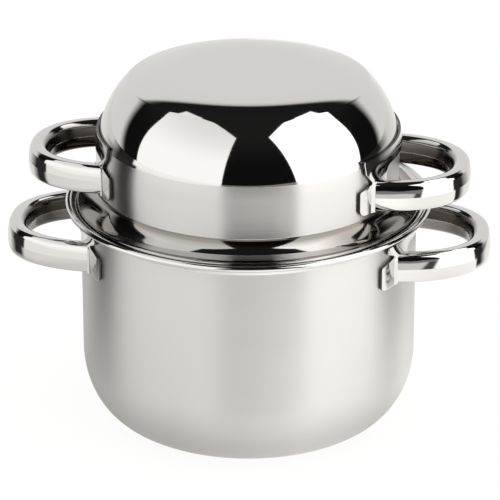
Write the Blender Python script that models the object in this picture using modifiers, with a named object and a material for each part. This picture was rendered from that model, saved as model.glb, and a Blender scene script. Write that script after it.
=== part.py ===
"""Two-handled stainless mussel pot whose domed lid doubles as the bowl for empty shells.

Metres, +Z up. The origin is the centre of the pot's base and the pot's handles lie along X.
The pot and the lid are drawn shells. Each carries two hollow loop handles, and every handle is
two pressed half-shells on a curved wall plate. The lid rests in the flared lip of the pot.
"""

import math
from dataclasses import dataclass

import bmesh
import bpy

# Pot shell
POT_DIAMETER = 0.1600
POT_HEIGHT = 0.1102
POT_SHEET = 0.0009
BASE_THICKNESS = 0.0012
BASE_FLAT_DIAMETER = 0.1120
HEEL_HEIGHT = 0.0343
LIP_RADIUS = 0.0050
LIP_TURN = math.radians(98.0)
BEAD_DIAMETER = 0.0029

# Lid shell. Its diameter follows from the pot's lip, less the width of its own flange.
LID_SHEET = 0.0008
HEM_DIAMETER = 0.0016
SEAT_ANGLE = math.radians(54.0)
FLANGE_WIDTH = 0.0095
FLANGE_RISE = 0.0076
LID_WALL_HEIGHT = 0.0182
SHOULDER_RADIUS = 0.0459
SHOULDER_END = math.radians(45.5)
CORNER_RADIUS = 0.0036
CORNER_END = math.radians(71.2)
CROWN_RADIUS = 0.0755
LID_TURN = math.radians(-4.15)

# Clearances
SEAT_GAP = 0.0003
WELD_GAP = 0.0003

# Handle sheet
PLATE_SHEET = 0.0012
LOOP_SHEET = 0.0008
LOOP_THICKNESS = 0.0100
LOOP_RIDGE_RADIUS = 0.0018   # between the top and the outer face
LOOP_ROLL_RADIUS = 0.0038   # from the top down to the inner seam

# Smoothness of the turned and swept shapes
TURN_STEPS = 60
LOOP_STEPS = 14


@dataclass(frozen=True)
class HandleSizes:
    """Sizes of one loop handle and its wall plate, from the middle of the loop's height."""

    reach: float          # wall to the far end of the loop
    width: float          # across the outer faces of both arms at the wall
    taper: float          # share by which the arms draw in or spread on their way out
    squareness: float     # exponent of the loop's outline, 2 for an ellipse
    height: float         # of the loop, over both half-shells
    ear_width: float      # flange beyond the arm's outer face
    ear_top: float        # upper end of the flange's straight edge
    ear_corner: float     # height of the flange's rounded lower corner
    notch_rise: float     # notch above the arm's top
    strap_low: float      # lower edge of the strap
    strap_top: float      # upper edge of the strap
    strap_overhang: float # strap beyond the arm's outer face


POT_HANDLE = HandleSizes(
    reach=0.0357,
    width=0.0755,
    taper=0.08,
    squareness=2.4,
    height=0.0140,
    ear_width=0.0101,
    ear_top=0.0046,
    ear_corner=0.0022,
    notch_rise=0.0004,
    strap_low=0.0093,
    strap_top=0.0132,
    strap_overhang=0.0056,
)
POT_HANDLE_DROP = 0.0203

LID_HANDLE = HandleSizes(
    reach=0.0343,
    width=0.0696,
    taper=-0.02,
    squareness=2.19,
    height=0.0140,
    ear_width=0.0085,
    ear_top=0.0052,
    ear_corner=0.0036,
    notch_rise=0.0004,
    strap_low=0.0121,
    strap_top=0.0188,
    strap_overhang=0.0043,
)
LID_HANDLE_RISE = 0.0176


# Places worked out from the sizes
POT_RADIUS = POT_DIAMETER / 2
LIP_MIDDLE = LIP_RADIUS + POT_SHEET / 2
BEAD_RADIUS = BEAD_DIAMETER / 2
LIP_CENTRE = (
    POT_RADIUS + LIP_RADIUS,
    POT_HEIGHT - BEAD_RADIUS - LIP_MIDDLE * math.sin(LIP_TURN),
)
HEM_RADIUS = HEM_DIAMETER / 2
SEAT_REACH = LIP_RADIUS + POT_SHEET + SEAT_GAP + HEM_RADIUS
HEM_OUT = LIP_CENTRE[0] - SEAT_REACH * math.cos(SEAT_ANGLE)
HEM_UP = LIP_CENTRE[1] + SEAT_REACH * math.sin(SEAT_ANGLE)
LID_RADIUS = HEM_OUT - FLANGE_WIDTH
LID_WALL_BASE = HEM_RADIUS + FLANGE_RISE
LID_WALL_TOP = LID_WALL_BASE + LID_WALL_HEIGHT


# Outline helpers
def arc(centre, radii, start, end, steps):
    """Points of an elliptical arc in (across, up), ends included, angles in radians."""
    points = []
    for step in range(steps + 1):
        angle = start + (end - start) * step / steps
        points.append((
            centre[0] + radii[0] * math.cos(angle),
            centre[1] + radii[1] * math.sin(angle),
        ))
    return points


def fillet(before, corner, after, radius, steps):
    """Points of the arc that rounds one corner of a straight-sided outline."""
    into = (before[0] - corner[0], before[1] - corner[1])
    out = (after[0] - corner[0], after[1] - corner[1])
    into_length = math.hypot(*into)
    out_length = math.hypot(*out)
    into = (into[0] / into_length, into[1] / into_length)
    out = (out[0] / out_length, out[1] / out_length)
    half = math.acos(into[0] * out[0] + into[1] * out[1]) / 2
    radius = min(radius, 0.45 * min(into_length, out_length) * math.tan(half))
    middle = (into[0] + out[0], into[1] + out[1])
    middle_length = math.hypot(*middle)
    to_centre = radius / math.sin(half)
    centre = (
        corner[0] + middle[0] / middle_length * to_centre,
        corner[1] + middle[1] / middle_length * to_centre,
    )
    tangent = radius / math.tan(half)
    first = (corner[0] + into[0] * tangent, corner[1] + into[1] * tangent)
    last = (corner[0] + out[0] * tangent, corner[1] + out[1] * tangent)
    start = math.atan2(first[1] - centre[1], first[0] - centre[0])
    turn = math.atan2(last[1] - centre[1], last[0] - centre[0]) - start
    turn = (turn + math.pi) % (2 * math.pi) - math.pi
    return arc(centre, (radius, radius), start, start + turn, steps)


def circle_meet(radius, distance, other_radius):
    """Angle at a circle's centre, from the line of centres to where another circle meets it."""
    return math.acos((radius ** 2 + distance ** 2 - other_radius ** 2) / (2 * radius * distance))


# Turned profiles, each as (radius, height)
def pot_profile():
    """Closed section of the pot's sheet: up the inside, round the bead, down the outside."""
    inner_radius = POT_RADIUS - POT_SHEET
    heel_centre = (BASE_FLAT_DIAMETER / 2, HEEL_HEIGHT)
    top_radius = LIP_RADIUS + POT_SHEET
    top_end = math.pi - LIP_TURN + circle_meet(top_radius, LIP_MIDDLE, BEAD_RADIUS)
    under_end = math.pi - LIP_TURN + circle_meet(LIP_RADIUS, LIP_MIDDLE, BEAD_RADIUS)
    bead_centre = (
        LIP_CENTRE[0] - LIP_MIDDLE * math.cos(LIP_TURN),
        LIP_CENTRE[1] + LIP_MIDDLE * math.sin(LIP_TURN),
    )
    inside_heel = arc(
        heel_centre,
        (inner_radius - heel_centre[0], HEEL_HEIGHT - BASE_THICKNESS),
        -math.pi / 2, 0.0, 9,
    )
    lip_top = arc(LIP_CENTRE, (top_radius, top_radius), math.pi, top_end, 4)
    lip_under = arc(LIP_CENTRE, (LIP_RADIUS, LIP_RADIUS), under_end, math.pi, 4)
    bead = arc(
        bead_centre,
        (BEAD_RADIUS, BEAD_RADIUS),
        math.atan2(lip_top[-1][1] - bead_centre[1], lip_top[-1][0] - bead_centre[0]),
        math.atan2(lip_under[0][1] - bead_centre[1], lip_under[0][0] - bead_centre[0]),
        8,
    )
    outside_heel = arc(
        heel_centre, (POT_RADIUS - heel_centre[0], HEEL_HEIGHT), 0.0, -math.pi / 2, 9,
    )
    return (
        [(0.0, BASE_THICKNESS)] + inside_heel + lip_top
        + bead[1:-1] + lip_under + outside_heel + [(0.0, 0.0)]
    )


def dome_arcs(inset):
    """Shoulder, corner and crown of the lid from the wall's top inwards, set in by a depth.

    The three arcs run on from one another without a kink, so each centre lies on the line
    from the last centre through the point where the arcs meet.
    """
    shoulder_centre = (LID_RADIUS - SHOULDER_RADIUS, LID_WALL_TOP)
    step = SHOULDER_RADIUS - CORNER_RADIUS
    corner_centre = (
        shoulder_centre[0] + step * math.cos(SHOULDER_END),
        shoulder_centre[1] + step * math.sin(SHOULDER_END),
    )
    step = CORNER_RADIUS - CROWN_RADIUS
    crown_centre = (
        corner_centre[0] + step * math.cos(CORNER_END),
        corner_centre[1] + step * math.sin(CORNER_END),
    )
    shoulder = SHOULDER_RADIUS - inset
    corner = CORNER_RADIUS - inset
    crown = CROWN_RADIUS - inset
    return (
        arc(shoulder_centre, (shoulder, shoulder), 0.0, SHOULDER_END, 5)
        + arc(corner_centre, (corner, corner), SHOULDER_END, CORNER_END, 2)[1:]
        + arc(crown_centre, (crown, crown), CORNER_END, math.pi / 2, 3)[1:]
    )


def lid_profile():
    """Closed section of the lid's sheet: down the outside, round the hem, up the inside."""
    outside = dome_arcs(0.0)
    inside = dome_arcs(LID_SHEET)
    flange_centre = (HEM_OUT, LID_WALL_BASE)
    flange = arc(flange_centre, (FLANGE_WIDTH, FLANGE_RISE), math.pi, 1.5 * math.pi, 5)
    hem = arc((HEM_OUT, 0.0), (HEM_RADIUS, HEM_RADIUS), math.pi / 2, -math.pi * 5 / 6, 6)
    under_radii = (FLANGE_WIDTH + LID_SHEET, FLANGE_RISE + LID_SHEET)
    under_start = math.pi + math.acos(HEM_RADIUS / under_radii[0])
    underside = arc(flange_centre, under_radii, under_start, math.pi, 5)
    return (
        [(0.0, outside[-1][1])] + outside[::-1] + flange
        + hem[1:] + underside + inside + [(0.0, inside[-1][1])]
    )


def pot_band_profile(low, top):
    """Section of the ring that the pot's wall plates are cut from."""
    inner = POT_RADIUS + WELD_GAP
    outer = inner + PLATE_SHEET
    return [(outer, top), (outer, low), (inner, low), (inner, top)]


def lid_band_profile(low, top):
    """Section of the ring that the lid's wall plates are cut from, bent over the shoulder."""
    inner = SHOULDER_RADIUS + WELD_GAP
    outer = inner + PLATE_SHEET
    centre = (LID_RADIUS - SHOULDER_RADIUS, LID_WALL_TOP)
    bend = math.asin((top - LID_WALL_TOP) / inner)
    outside = arc(centre, (outer, outer), bend, 0.0, 3)
    inside = arc(centre, (inner, inner), 0.0, bend, 3)
    return (
        outside + [(centre[0] + outer, low), (centre[0] + inner, low)] + inside
    )


# Handle outlines
def loop_path(sizes, wall_radius):
    """Outer line of the loop in plan: straight roots, then a squarish half oval."""
    across = sizes.width / 2
    root = math.sqrt(wall_radius ** 2 - across ** 2)
    along = wall_radius + sizes.reach - root
    points = [(root - PLATE_SHEET * 3, -across)]
    for step in range(LOOP_STEPS + 1):
        angle = math.pi * (step / LOOP_STEPS - 0.5)
        forward = abs(math.cos(angle) / along) ** sizes.squareness
        sideways = abs(math.sin(angle) / across) ** sizes.squareness
        distance = (forward + sideways) ** (-1 / sizes.squareness)
        out = distance * math.cos(angle)
        narrowing = 1 - sizes.taper * out / along
        points.append((root + out, distance * math.sin(angle) * narrowing))
    points.append((root - PLATE_SHEET * 3, across))
    return points


def half_section(sizes, side):
    """Open section of one half-shell, over its top from the outer seam to the inner one.

    Across is measured from the loop's outer line. The top turns down to the outer face over a
    tight ridge and rolls down to the inner seam over a soft one. Side is 1 for the upper half
    and -1 for the lower one, and the order of the points keeps the skin facing out.
    """
    top = sizes.height / 2
    ridge = (LOOP_RIDGE_RADIUS, LOOP_RIDGE_RADIUS)
    roll = (LOOP_ROLL_RADIUS, LOOP_ROLL_RADIUS)
    ridge_centre = (-LOOP_RIDGE_RADIUS, top - LOOP_RIDGE_RADIUS)
    roll_centre = (LOOP_ROLL_RADIUS - LOOP_THICKNESS, top - LOOP_ROLL_RADIUS)
    points = (
        [(0.0, WELD_GAP / 2)]
        + arc(ridge_centre, ridge, 0.0, math.pi / 2, 2)
        + arc(roll_centre, roll, math.pi / 2, math.pi, 3)
        + [(-LOOP_THICKNESS, WELD_GAP / 2)]
    )
    return [(across, side * up) for across, up in points[::-side]]


def plate_outline(sizes):
    """Outline of a wall plate seen along the handle: two eared legs joined by a strap."""
    arm_face = sizes.width / 2
    leg_inside = arm_face - LOOP_THICKNESS - WELD_GAP * 3
    leg_low = -sizes.height / 2
    ear_edge = arm_face + sizes.ear_width
    strap_edge = arm_face + sizes.strap_overhang
    notch = (arm_face, sizes.height / 2 + sizes.notch_rise)
    corner_centre = (ear_edge - sizes.ear_corner, leg_low + sizes.ear_corner)
    half = fillet(
        (0.0, sizes.strap_low), (leg_inside, sizes.strap_low), (leg_inside, leg_low), 0.0045, 3,
    )
    half.append((leg_inside, leg_low))
    half += arc(corner_centre, (sizes.ear_corner, sizes.ear_corner), -math.pi / 2, 0.0, 3)
    half.append((ear_edge, sizes.ear_top))
    half.append(notch)
    half += fillet(notch, (strap_edge, sizes.strap_low + 0.001), (strap_edge, sizes.strap_top),
                   0.001, 2)
    half += fillet((strap_edge, sizes.strap_low), (strap_edge, sizes.strap_top),
                   (0.0, sizes.strap_top), 0.0012, 2)
    return half + [(-across, up) for across, up in reversed(half)]


# Blender objects
def clear_scene():
    """Remove every object that the open file holds."""
    for old in list(bpy.data.objects):
        bpy.data.objects.remove(old, do_unlink=True)


def new_collection(name):
    """Add an empty collection to the scene."""
    collection = bpy.data.collections.new(name)
    bpy.context.scene.collection.children.link(collection)
    return collection


def steel(name, colour, roughness):
    """Bare stainless steel of one finish."""
    material = bpy.data.materials.new(name)
    material.use_nodes = True
    shader = material.node_tree.nodes["Principled BSDF"]
    shader.inputs["Base Color"].default_value = (*colour, 1.0)
    shader.inputs["Metallic"].default_value = 1.0
    shader.inputs["Roughness"].default_value = roughness
    material.diffuse_color = (*colour, 1.0)
    return material


def add_object(name, mesh, collection, material=None):
    """Place a mesh in the scene under a name, with one material."""
    placed = bpy.data.objects.new(name, mesh)
    collection.objects.link(placed)
    if material is not None:
        mesh.materials.clear()
        mesh.materials.append(material)
    return placed


def turned(name, profile, closed, collection, material=None):
    """Turn a profile of (radius, height) once round the Z axis."""
    mesh = bpy.data.meshes.new(name)
    edges = [(index, index + 1) for index in range(len(profile) - 1)]
    if closed:
        edges.append((len(profile) - 1, 0))
    mesh.from_pydata([(radius, 0.0, up) for radius, up in profile], edges, [])
    placed = add_object(name, mesh, collection, material)
    screw = placed.modifiers.new("turn", "SCREW")
    screw.axis = "Z"
    screw.steps = TURN_STEPS
    screw.render_steps = TURN_STEPS
    screw.use_merge_vertices = True
    screw.merge_threshold = 0.00001
    screw.use_smooth_shade = True
    return placed


def curve_through(name, points, closed):
    """Curve object with straight stretches between points of its own XY plane."""
    curve = bpy.data.curves.new(name, "CURVE")
    curve.dimensions = "3D"
    curve.twist_mode = "Z_UP"
    curve.render_resolution_u = 0
    spline = curve.splines.new("POLY")
    spline.points.add(len(points) - 1)
    for place, (across, up) in zip(spline.points, points):
        place.co = (across, up, 0.0, 1.0)
    spline.use_cyclic_u = closed
    placed = bpy.data.objects.new(name, curve)
    bpy.context.scene.collection.objects.link(placed)
    return placed


def mesh_from_curve(name, placed):
    """Mesh of a curve object with its caps welded. The curve is removed."""
    bpy.context.view_layer.update()
    graph = bpy.context.evaluated_depsgraph_get()
    mesh = bpy.data.meshes.new_from_object(placed.evaluated_get(graph))
    mesh.name = name
    work = bmesh.new()
    work.from_mesh(mesh)
    bmesh.ops.remove_doubles(work, verts=work.verts, dist=0.00001)
    work.to_mesh(mesh)
    work.free()
    bpy.data.objects.remove(placed, do_unlink=True)
    return mesh


def swept_skin(name, path, section):
    """Open skin left by an open section that follows a path in plan."""
    guide = curve_through(name + "_section", section, False)
    run = curve_through(name + "_path", path, False)
    run.data.bevel_mode = "OBJECT"
    run.data.bevel_object = guide
    mesh = mesh_from_curve(name, run)
    bpy.data.objects.remove(guide, do_unlink=True)
    return mesh


def hide_tool(placed):
    """Mark an object as a cutter."""
    placed.hide_render = True
    placed.display_type = "WIRE"


def add_boolean(placed, tool, operation):
    """Cut an object with a tool, or keep only what lies inside the tool."""
    cut = placed.modifiers.new(operation.lower(), "BOOLEAN")
    cut.operation = operation
    cut.solver = "EXACT"
    cut.object = tool


def wall_cutter(name, wall_radius, height, sizes, cutters):
    """Drum that trims the arms of a handle to the face of its wall plate."""
    radius = wall_radius + WELD_GAP + PLATE_SHEET + WELD_GAP
    low = height - sizes.height
    top = height + sizes.height
    profile = [(0.0, top), (radius, top), (radius, low), (0.0, low)]
    cutter = turned(name, profile, False, cutters)
    hide_tool(cutter)
    return cutter


def outline_cutter(name, sizes, height, turn, wall_radius, cutters):
    """Prism with a wall plate's outline, from near the axis to outside the wall."""
    curve = curve_through(name, plate_outline(sizes), True)
    curve.data.dimensions = "2D"
    curve.data.fill_mode = "BOTH"
    curve.data.extrude = wall_radius / 3
    mesh = mesh_from_curve(name, curve)
    cutter = add_object(name, mesh, cutters)
    distance = wall_radius * 0.85
    cutter.location = (distance * math.cos(turn), distance * math.sin(turn), height)
    cutter.rotation_euler = (math.pi / 2, 0.0, math.pi / 2 + turn)
    hide_tool(cutter)
    return cutter


def half_shell(name, mesh, height, turn, cutter, parts, material):
    """One pressed half of a loop, given its sheet thickness and trimmed to the wall plate."""
    half = add_object(name, mesh, parts, material)
    half.location = (0.0, 0.0, height)
    half.rotation_euler = (0.0, 0.0, turn)
    sheet = half.modifiers.new("sheet", "SOLIDIFY")
    sheet.thickness = LOOP_SHEET
    sheet.offset = -1.0
    sheet.use_even_offset = True
    add_boolean(half, cutter, "DIFFERENCE")
    return half


def add_handles(owner, sizes, wall_radius, height, band, parts, cutters, finish):
    """Both handles of the pot or of the lid, right then left, each as three pieces."""
    trim = wall_cutter(owner + "_trim", wall_radius, height, sizes, cutters)
    path = loop_path(sizes, wall_radius)
    pieces = [trim]
    for side, turn in (("right", 0.0), ("left", math.pi)):
        stem = owner + "_handle_" + side
        for half, sign in (("upper", 1), ("lower", -1)):
            mesh = swept_skin(stem + "_" + half, path, half_section(sizes, sign))
            mesh.shade_smooth()
            mesh.set_sharp_from_angle(angle=math.radians(32))
            pieces.append(half_shell(
                stem + "_" + half, mesh, height, turn, trim, parts, finish["loop"],
            ))
        outline = outline_cutter(stem + "_outline", sizes, height, turn, wall_radius, cutters)
        plate = turned(stem + "_bracket", band, True, parts, finish["plate"])
        add_boolean(plate, outline, "INTERSECT")
        pieces += [outline, plate]
    return pieces


def build_pot(parts, cutters, finish):
    """Pot shell and its two handles."""
    turned("pot_body", pot_profile(), False, parts, finish["pot"])
    height = POT_HEIGHT - POT_HANDLE_DROP
    band = pot_band_profile(
        height - POT_HANDLE.height, height + POT_HANDLE.strap_top + PLATE_SHEET / 2,
    )
    add_handles("pot", POT_HANDLE, POT_RADIUS, height, band, parts, cutters, finish)


def build_lid(parts, cutters, finish):
    """Lid shell and its two handles, all carried by an empty on the lid's axis."""
    shell = turned("lid_bowl", lid_profile(), False, parts, finish["lid"])
    band = lid_band_profile(
        LID_HANDLE_RISE - LID_HANDLE.height,
        LID_HANDLE_RISE + LID_HANDLE.strap_top + PLATE_SHEET,
    )
    pieces = add_handles(
        "lid", LID_HANDLE, LID_RADIUS, LID_HANDLE_RISE, band, parts, cutters, finish,
    )
    axis = bpy.data.objects.new("lid_axis", None)
    parts.objects.link(axis)
    axis.location = (0.0, 0.0, HEM_UP)
    axis.rotation_euler = (0.0, 0.0, LID_TURN)
    for piece in [shell] + pieces:
        piece.parent = axis


def main():
    """Build the whole pot."""
    clear_scene()
    parts = new_collection("mussel_pot")
    cutters = new_collection("cutters")
    finish = {
        "pot": steel("satin_steel", (0.74, 0.72, 0.69), 0.34),
        "lid": steel("polished_steel", (0.80, 0.79, 0.77), 0.12),
        "loop": steel("mirror_steel", (0.82, 0.80, 0.78), 0.07),
        "plate": steel("plate_steel", (0.78, 0.76, 0.73), 0.16),
    }
    build_pot(parts, cutters, finish)
    build_lid(parts, cutters, finish)
    bpy.context.view_layer.update()


main()
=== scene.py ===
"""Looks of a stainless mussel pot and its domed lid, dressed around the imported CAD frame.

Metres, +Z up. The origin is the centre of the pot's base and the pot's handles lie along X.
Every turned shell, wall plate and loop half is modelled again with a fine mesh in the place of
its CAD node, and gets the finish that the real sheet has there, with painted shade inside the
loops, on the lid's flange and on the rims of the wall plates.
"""

from __future__ import annotations

import logging
import math
from collections.abc import Callable
from dataclasses import dataclass
from enum import Enum

import bpy
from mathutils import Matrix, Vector

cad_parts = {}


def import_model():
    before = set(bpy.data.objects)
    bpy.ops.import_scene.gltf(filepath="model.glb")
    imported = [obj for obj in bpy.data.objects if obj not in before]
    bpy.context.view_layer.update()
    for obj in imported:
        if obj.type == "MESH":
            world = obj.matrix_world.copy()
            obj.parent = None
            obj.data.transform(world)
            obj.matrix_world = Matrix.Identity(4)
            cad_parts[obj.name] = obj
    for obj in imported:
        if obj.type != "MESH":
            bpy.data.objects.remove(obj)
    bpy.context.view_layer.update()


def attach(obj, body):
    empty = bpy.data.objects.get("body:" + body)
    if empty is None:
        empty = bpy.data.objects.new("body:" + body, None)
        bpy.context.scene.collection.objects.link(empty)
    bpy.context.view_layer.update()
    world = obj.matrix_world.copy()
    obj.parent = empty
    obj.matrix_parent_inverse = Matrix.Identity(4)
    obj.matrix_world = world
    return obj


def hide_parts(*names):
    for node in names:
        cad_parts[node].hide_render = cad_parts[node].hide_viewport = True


LOG = logging.getLogger("mussel_pot")

Point = tuple[float, float]
Edge = tuple[Point, Point]
Colour = tuple[float, float, float]
Piece = bpy.types.Object
Socket = bpy.types.NodeSocket
FaceTest = Callable[[Vector, Vector], bool]

STEEL: Colour = (0.70, 0.695, 0.68)
WELD_GAP = 0.0003


class Body(Enum):
    """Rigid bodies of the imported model."""

    POT = "pot"
    LID = "lid"


class Side(Enum):
    """Handle's side of the pot, with its turn about the pot's axis."""

    RIGHT = 0.0
    LEFT = math.pi


# Modelling


class Bench:
    """Blender's modelling operators, each used on the one piece that is being made."""

    SEED_SIZE = 0.002
    TOUCHING = 1e-6

    @staticmethod
    def clear() -> None:
        """Leave edit mode and deselect everything."""
        if bpy.context.object is not None and bpy.context.object.mode != "OBJECT":
            bpy.ops.object.mode_set(mode="OBJECT")
        bpy.ops.object.select_all(action="DESELECT")

    @staticmethod
    def pick(piece: Piece) -> None:
        """Make one piece the only selected and active one.

        Args:
            piece: Piece to pick.
        """
        Bench.clear()
        piece.select_set(True)
        bpy.context.view_layer.objects.active = piece

    @staticmethod
    def start_point(name: str, place: Vector) -> Piece:
        """Begin a piece as a single point, left in edit mode.

        Args:
            name: Name of the new piece.
            place: Where the point stands.

        Returns:
            The piece, at the origin, with the point in its mesh.
        """
        Bench.clear()
        bpy.ops.mesh.primitive_plane_add(size=Bench.SEED_SIZE, location=place)
        piece = bpy.context.object
        piece.name = name
        piece.data.name = name
        bpy.ops.object.transform_apply(location=True, rotation=True, scale=True)
        bpy.ops.object.mode_set(mode="EDIT")
        bpy.ops.mesh.select_all(action="SELECT")
        bpy.ops.mesh.merge(type="CENTER")
        return piece

    @staticmethod
    def draw_line(points: list[Vector]) -> None:
        """Extrude the selected point along a run of points.

        Args:
            points: Places that the line runs through, the first being the selected point's.
        """
        for before, after in zip(points, points[1:]):
            bpy.ops.mesh.extrude_region_move(
                TRANSFORM_OT_translate={"value": tuple(after - before)}
            )

    @staticmethod
    def close_up() -> None:
        """Merge doubles over the whole mesh and turn its faces outwards."""
        bpy.ops.mesh.select_all(action="SELECT")
        bpy.ops.mesh.remove_doubles(threshold=Bench.TOUCHING)
        bpy.ops.mesh.normals_make_consistent(inside=False)

    @staticmethod
    def finish(piece: Piece, angle: float = 40.0) -> Piece:
        """Leave edit mode and shade a piece smooth.

        Args:
            piece: Piece to finish.
            angle: Largest angle that is shaded smooth, in degrees.

        Returns:
            The same piece.
        """
        Bench.pick(piece)
        bpy.ops.object.shade_smooth_by_angle(angle=math.radians(angle))
        Bench.clear()
        return piece

    @staticmethod
    def apply(piece: Piece, kind: str, **settings: object) -> None:
        """Add a modifier with its settings and apply it at once.

        Args:
            piece: Piece that gets the modifier.
            kind: Type of the modifier.
            **settings: Properties of the modifier and their values.
        """
        Bench.pick(piece)
        modifier = piece.modifiers.new(kind.lower(), kind)
        for setting, value in settings.items():
            setattr(modifier, setting, value)
        bpy.ops.object.modifier_apply(modifier=modifier.name)

    @staticmethod
    def remove(*tools: Piece) -> None:
        """Delete helper objects."""
        for tool in tools:
            bpy.data.objects.remove(tool, do_unlink=True)

    @staticmethod
    def copy(piece: Piece, name: str) -> Piece:
        """Copy a piece with a mesh of its own.

        Args:
            piece: Piece to copy.
            name: Name of the copy.

        Returns:
            The copy.
        """
        Bench.pick(piece)
        bpy.ops.object.duplicate(linked=False)
        twin = bpy.context.object
        twin.name = name
        twin.data.name = name
        Bench.clear()
        return twin

    @staticmethod
    def settle(piece: Piece, turn: float, lift: float) -> None:
        """Turn a piece about the Z axis and lift it, with both kept in its mesh.

        Args:
            piece: Piece to settle.
            turn: Turn in radians.
            lift: Way up.
        """
        Bench.pick(piece)
        piece.rotation_euler = (0.0, 0.0, turn)
        piece.location = (0.0, 0.0, lift)
        bpy.ops.object.transform_apply(location=True, rotation=True, scale=True)
        Bench.clear()

    @staticmethod
    def open_up(piece: Piece) -> None:
        """Enter edit mode on a piece with its whole mesh selected.

        Args:
            piece: Piece to edit.
        """
        Bench.pick(piece)
        bpy.ops.object.mode_set(mode="EDIT")
        bpy.ops.mesh.select_all(action="SELECT")

    @staticmethod
    def flip(piece: Piece) -> None:
        """Turn every face of a piece over.

        Args:
            piece: Piece to turn over.
        """
        Bench.open_up(piece)
        bpy.ops.mesh.flip_normals()
        Bench.clear()

    @staticmethod
    def mirror_down(piece: Piece) -> None:
        """Mirror a piece in the plane of the origin and keep its faces outwards.

        Args:
            piece: Piece to mirror.
        """
        Bench.open_up(piece)
        bpy.ops.transform.mirror(
            constraint_axis=(False, False, True), center_override=(0.0, 0.0, 0.0)
        )
        bpy.ops.mesh.flip_normals()
        Bench.clear()

    @staticmethod
    def everywhere(centre: Vector, normal: Vector) -> bool:
        """Pick every face."""
        return True

    @staticmethod
    def paint(piece: Piece, finish: bpy.types.Material, where: FaceTest) -> None:
        """Give a finish to the faces that a test picks.

        Args:
            piece: Piece to paint.
            finish: Material that the faces get.
            where: Test of a face, from its centre and its normal.
        """
        names = [slot.name for slot in piece.material_slots]
        if finish.name not in names:
            piece.data.materials.append(finish)
            names.append(finish.name)
        slot = names.index(finish.name)
        for face in piece.data.polygons:
            if where(face.center, face.normal):
                face.material_index = slot


class Outline:
    """Section of a sheet as (across, up) points, drawn with straight stretches and arcs."""

    STEP = math.radians(2.5)
    CORNER_STEP = math.radians(9.0)
    SAME_PLACE = 2e-6

    def __init__(self) -> None:
        """Start an empty section."""
        self.points: list[Point] = []

    def add(self, across: float, up: float) -> Outline:
        """Add one point, unless it lies on the last one.

        Args:
            across: Distance across.
            up: Height.

        Returns:
            The outline itself.
        """
        if not self.points or math.dist(self.points[-1], (across, up)) > self.SAME_PLACE:
            self.points.append((across, up))
        return self

    def line(self, across: float, up: float, steps: int) -> Outline:
        """Run straight to a point in a number of equal steps.

        Args:
            across: Distance across at the end.
            up: Height at the end.
            steps: Number of steps.

        Returns:
            The outline itself.
        """
        start = self.points[-1]
        for step in range(1, steps + 1):
            share = step / steps
            self.add(
                start[0] + (across - start[0]) * share,
                start[1] + (up - start[1]) * share,
            )
        return self

    def arc(
        self, centre: Point, radii: Point, start: float, end: float, step: float = STEP
    ) -> Outline:
        """Run along an elliptical arc, in steps of at most an angle.

        Args:
            centre: Centre of the arc.
            radii: Half axes across and up.
            start: Angle at the arc's start, in radians.
            end: Angle at the arc's end, in radians.
            step: Largest angle between two points.

        Returns:
            The outline itself, so that calls can follow one another.
        """
        count = max(2, math.ceil(abs(end - start) / step))
        for index in range(count + 1):
            angle = start + (end - start) * index / count
            self.add(
                centre[0] + radii[0] * math.cos(angle),
                centre[1] + radii[1] * math.sin(angle),
            )
        return self

    def corner(self, corner: Point, after: Point, radius: float) -> Outline:
        """Run to a corner and round it towards the next point.

        Args:
            corner: Sharp corner.
            after: Point that the outline goes on to.
            radius: Radius of the rounding.

        Returns:
            The outline itself.
        """
        spot = Vector(corner)
        back = (Vector(self.points[-1]) - spot).normalized()
        ahead = (Vector(after) - spot).normalized()
        half = back.angle(ahead) / 2
        centre = spot + (back + ahead).normalized() * (radius / math.sin(half))
        first = spot + back * (radius / math.tan(half)) - centre
        last = spot + ahead * (radius / math.tan(half)) - centre
        start = math.atan2(first.y, first.x)
        turn = (math.atan2(last.y, last.x) - start + math.pi) % math.tau - math.pi
        return self.arc(tuple(centre), (radius, radius), start, start + turn, self.CORNER_STEP)

    def bend(self, radius: float, start: float, end: float, step: float = STEP) -> Outline:
        """Run on from the last point round an arc.

        Args:
            radius: Radius of the arc.
            start: Heading of the face at the arc's start, in radians.
            end: Heading of the face at its end.
            step: Largest turn between two points.

        Returns:
            The outline itself.
        """
        across, up = self.points[-1]
        centre = (across - radius * math.cos(start), up - radius * math.sin(start))
        return self.arc(centre, (radius, radius), start, end, step)

    @staticmethod
    def circle(centre: Point, radius: float, angle: float) -> Point:
        """Point of a circle at an angle in radians."""
        return centre[0] + radius * math.cos(angle), centre[1] + radius * math.sin(angle)

    @staticmethod
    def meet(radius: float, distance: float, other: float) -> float:
        """Angle at a circle's centre from the line of centres to where two circles meet."""
        return math.acos((radius**2 + distance**2 - other**2) / (2 * radius * distance))


class TurnedSheet:
    """Sheet shell that is turned once round the Z axis from its section."""

    STEPS = 288
    FINE_STEPS = 720

    @staticmethod
    def turn(name: str, section: list[Point], steps: int = STEPS) -> Piece:
        """Draw a section point by point and spin it into a closed shell.

        Args:
            name: Name of the new piece.
            section: Section whose ends both lie on the axis, or an open one.
            steps: Steps in the full turn.

        Returns:
            The shell, smooth shaded.
        """
        line = [Vector((across, 0.0, up)) for across, up in section]
        piece = Bench.start_point(name, line[0])
        Bench.draw_line(line)
        bpy.ops.mesh.select_all(action="SELECT")
        bpy.ops.mesh.spin(
            steps=steps,
            dupli=False,
            angle=math.tau,
            center=(0.0, 0.0, 0.0),
            axis=(0.0, 0.0, 1.0),
        )
        Bench.close_up()
        return Bench.finish(piece)


# Finishes


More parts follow.
